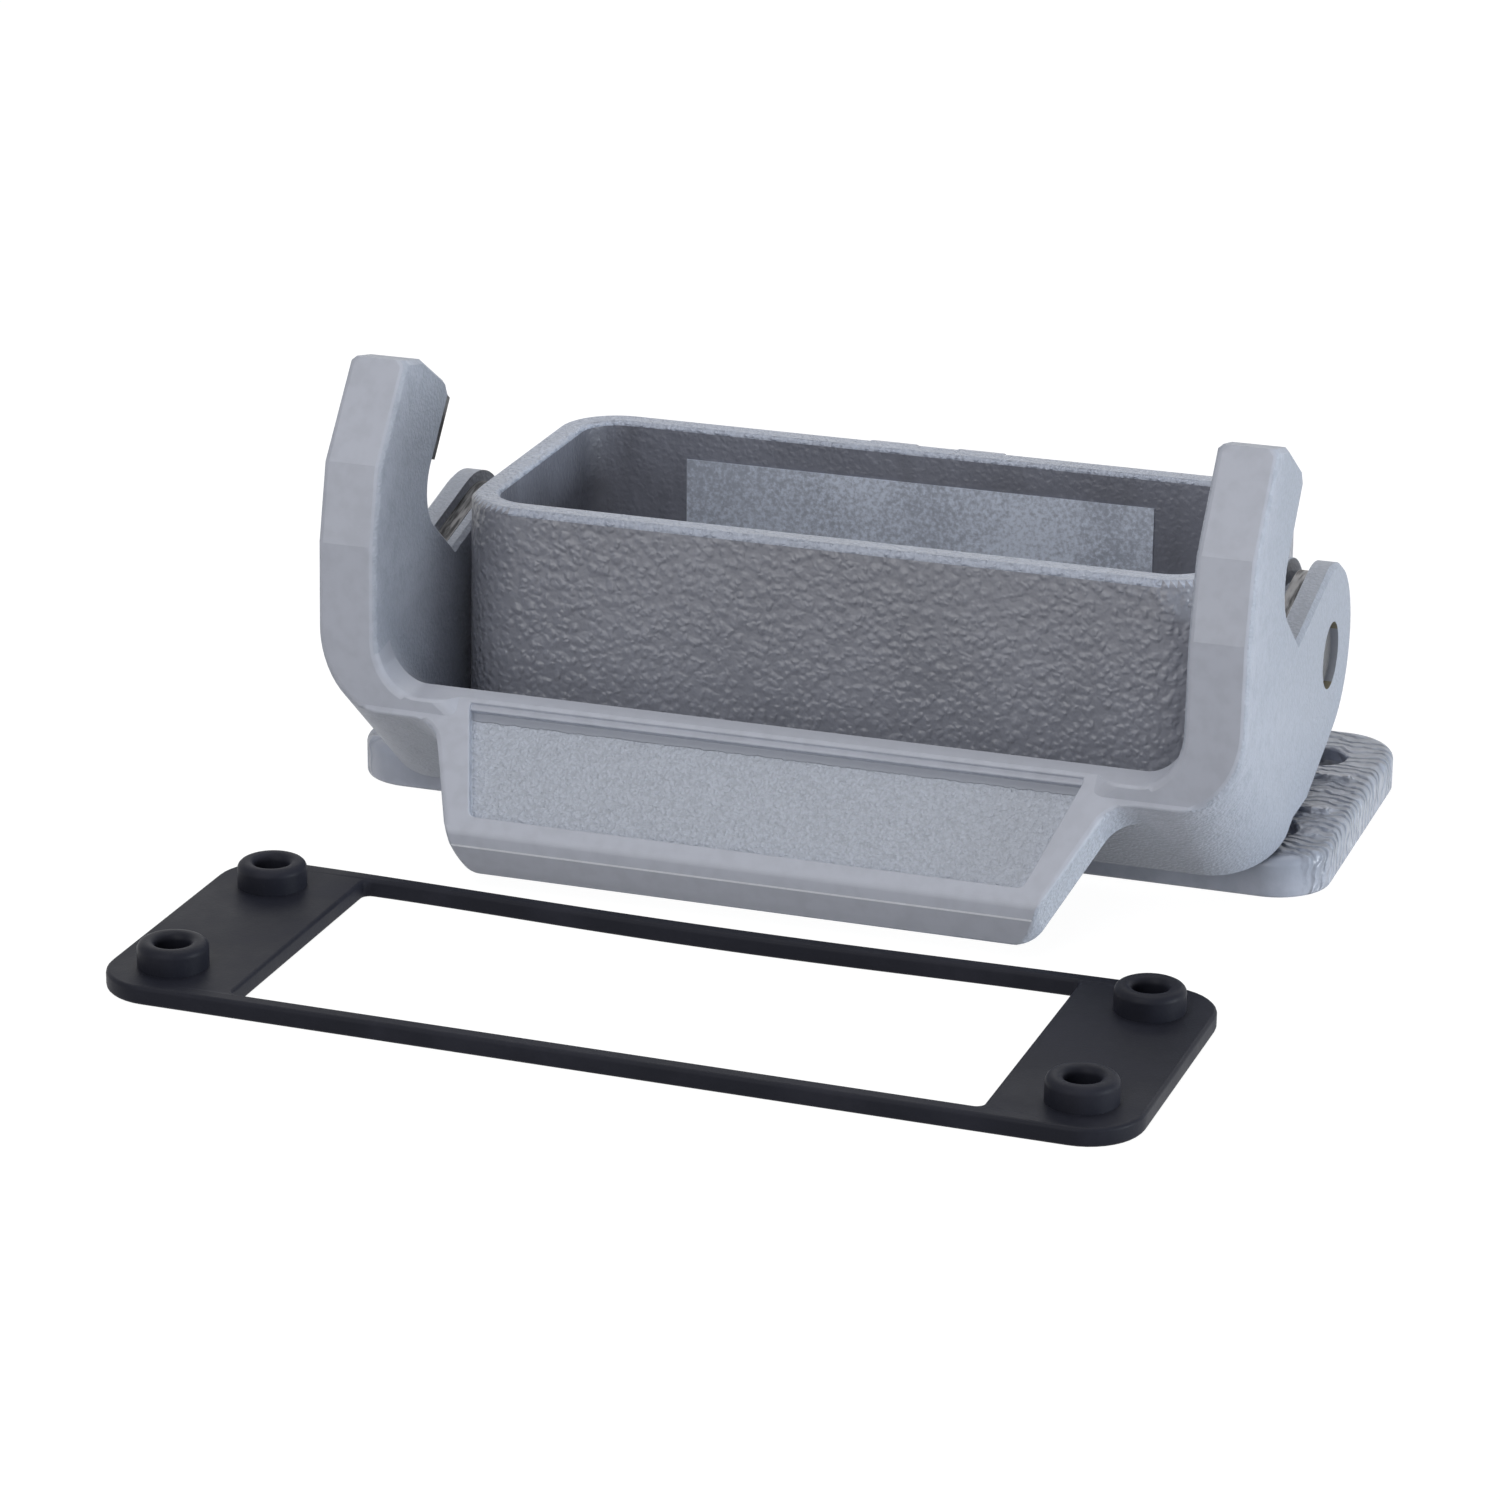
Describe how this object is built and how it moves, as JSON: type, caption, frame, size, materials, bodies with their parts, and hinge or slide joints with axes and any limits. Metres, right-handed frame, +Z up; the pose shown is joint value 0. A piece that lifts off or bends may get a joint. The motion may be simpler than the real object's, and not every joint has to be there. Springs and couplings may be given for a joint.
{
  "type": "bulkhead connector housing with locking lever",
  "caption": "Rectangular bulkhead connector housing: flanged rectangular collar with a hinged locking lever, standing open, and its loose flange gasket lying in front.",
  "frame": {"origin": "centre of the flange's underside, below the middle of the fixing hole pattern", "axes": "+X along the flange, +Y away from the lever's finger plate, +Z up along the collar, out of the panel"},
  "size_m": [0.0811, 0.0816, 0.0379],
  "materials": {
    "housing_paint": "grey enamel with a pebbled texture",
    "lever_plastic": "light grey, smooth on the front bands and finely grained elsewhere",
    "cam_steel": "plain steel strip",
    "label_foil": "mottled silver, blank",
    "gasket_rubber": "satin black rubber"
  },
  "bodies": {
    "housing_body": {"housing": "housing_paint", "label": "label_foil", "flange_gasket": "gasket_rubber"},
    "lever_body": {"lever": "lever_plastic", "cam_plate_left": "cam_steel", "cam_plate_right": "cam_steel"}
  },
  "joints": [
    {"name": "lever_hinge", "type": "hinge", "parent": "housing_body", "child": "lever_body", "pos_m": [0, 0, 0.015], "axis": [-1, 0, 0], "range_deg": [0, 60]}
  ]
}
